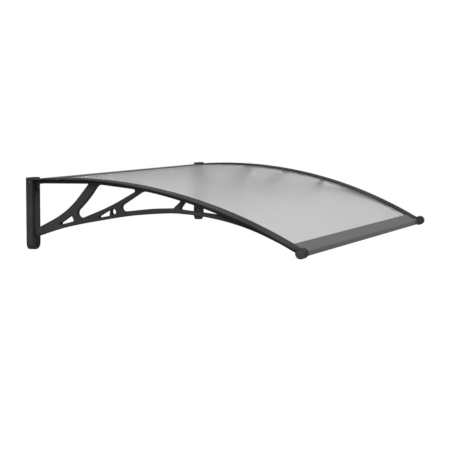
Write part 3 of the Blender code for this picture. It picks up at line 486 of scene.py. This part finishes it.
def recess_cutter():
    """Cross with tapered arms, standing in the head's face."""
    bm = bmesh.new()
    for quarter in (0, 1):
        turn = Matrix.Rotation(quarter * math.pi / 2, 4, "Z")
        size = Matrix.Diagonal((RECESS_SPAN, RECESS_WIDTH, 2 * RECESS_DEPTH, 1.0))
        place = Matrix.Translation((0.0, 0.0, -HEAD_HEIGHT))
        made = bmesh.ops.create_cube(bm, size=1.0, matrix=place @ turn @ size)["verts"]
        deep = [vert for vert in made if vert.co.z > -HEAD_HEIGHT]
        bmesh.ops.scale(bm, vec=(RECESS_TAPER, RECESS_TAPER, 1.0), verts=deep)
    return bm


def add_screw(node, length, place):
    """Makes a screw with its recess and moves it where it is driven."""
    screw = add_piece(f"{node}_driven", screw_body(length), screw_steel, node, SCREW_CREASE)
    carve(screw, recess_cutter())
    screw.data.transform(place)
    screw.data.set_sharp_from_angle(angle=math.radians(SCREW_CREASE))


for side, sign in (("left", -1), ("right", 1)):
    for number, out in enumerate(SCREW_OUTS, 1):
        head = upright_on_arc(sign * SCREW_LINE, out, STRIP_SCREW_DEPTH)
        add_screw(f"{side}_strip_screw_{number}", STRIP_SCREW_LENGTH, head)
    for node, (x, y, z, length) in (("rear_bar_screw", REAR_SCREW), ("front_bar_screw", FRONT_SCREW)):
        add_screw(f"{side}_{node}", length, facing_in(sign, x, y, z))

# Studio: a pale floor far below, two large soft lamps and a white surround.
FLOOR_HEIGHT = -3.0
FLOOR_SIZE = 60.0
FLOOR_GLOW = 0.58
CANOPY_MIDDLE = (0.0, -0.4, -0.1)
WORLD_LIGHT = 0.55  # strength that lights the canopy
WORLD_SEEN = 1.0  # strength that the camera, gloss and clear pieces see

floor_finish = Finish("pale_floor")
seen = 0.0
for kind in ("Is Camera Ray", "Is Glossy Ray", "Is Transmission Ray"):
    seen = seen + floor_finish.node("ShaderNodeLightPath", output=kind)
floor_finish.set(
    Base_Color=(0.80, 0.80, 0.80, 1.0),
    Roughness=0.9,
    Specular_IOR_Level=0.0,
    Emission_Color=floor_finish.mix(seen, (0.0, 0.0, 0.0, 1.0), (FLOOR_GLOW, FLOOR_GLOW, FLOOR_GLOW, 1.0)),
    Emission_Strength=1.0,
)
bm = bmesh.new()
bmesh.ops.create_grid(bm, x_segments=1, y_segments=1, size=FLOOR_SIZE / 2)
bmesh.ops.translate(bm, vec=(0.0, 0.0, FLOOR_HEIGHT), verts=bm.verts)
floor_mesh = bpy.data.meshes.new("floor")
bm.to_mesh(floor_mesh)
bm.free()
floor_mesh.materials.append(floor_finish.material)
floor = add_object("floor", floor_mesh)


def add_lamp(name, place, aim, size, power):
    """A round soft lamp that points at a place."""
    lamp = bpy.data.lights.new(name, "AREA")
    lamp.shape = "DISK"
    lamp.size = size
    lamp.energy = power
    stand = add_object(name, lamp)
    stand.location = place
    stand.rotation_euler = (Vector(aim) - Vector(place)).to_track_quat("-Z", "Y").to_euler()


add_lamp("key_lamp", (-2.8, -0.9, 3.2), CANOPY_MIDDLE, size=2.0, power=160.0)
add_lamp("fill_lamp", (2.5, -3.0, 1.5), CANOPY_MIDDLE, size=2.5, power=15.0)

world = bpy.data.worlds.new("studio")
world.use_nodes = True
bpy.context.scene.world = world
background = world.node_tree.nodes["Background"]
path = world.node_tree.nodes.new("ShaderNodeLightPath")
previous = path.outputs["Is Camera Ray"]
for kind in ("Is Glossy Ray", "Is Transmission Ray"):
    either = world.node_tree.nodes.new("ShaderNodeMath")
    either.operation = "MAXIMUM"
    world.node_tree.links.new(previous, either.inputs[0])
    world.node_tree.links.new(path.outputs[kind], either.inputs[1])
    previous = either.outputs[0]
level = world.node_tree.nodes.new("ShaderNodeMapRange")
world.node_tree.links.new(previous, level.inputs["Value"])
level.inputs["To Min"].default_value = WORLD_LIGHT
level.inputs["To Max"].default_value = WORLD_SEEN
world.node_tree.links.new(level.outputs[0], background.inputs["Strength"])
background.inputs["Color"].default_value = (1.0, 1.0, 1.0, 1.0)

# Camera: fitted to the outlines in the photo, a little above the canopy and left of it.
CAMERA_PLACE = (-4.10734, -1.9993, 0.20677)
CAMERA_DIP = 0.08007  # radians below level
CAMERA_TURN = -1.18637  # radians from facing the wall
CAMERA_LENS = 118.53
CAMERA_SENSOR = 36.0

camera = add_object("camera", bpy.data.cameras.new("camera"))
camera.location = CAMERA_PLACE
camera.rotation_euler = (math.pi / 2 - CAMERA_DIP, 0.0, CAMERA_TURN)
camera.data.lens = CAMERA_LENS
camera.data.sensor_width = CAMERA_SENSOR
bpy.context.scene.camera = camera
bpy.context.scene.view_settings.view_transform = "Standard"
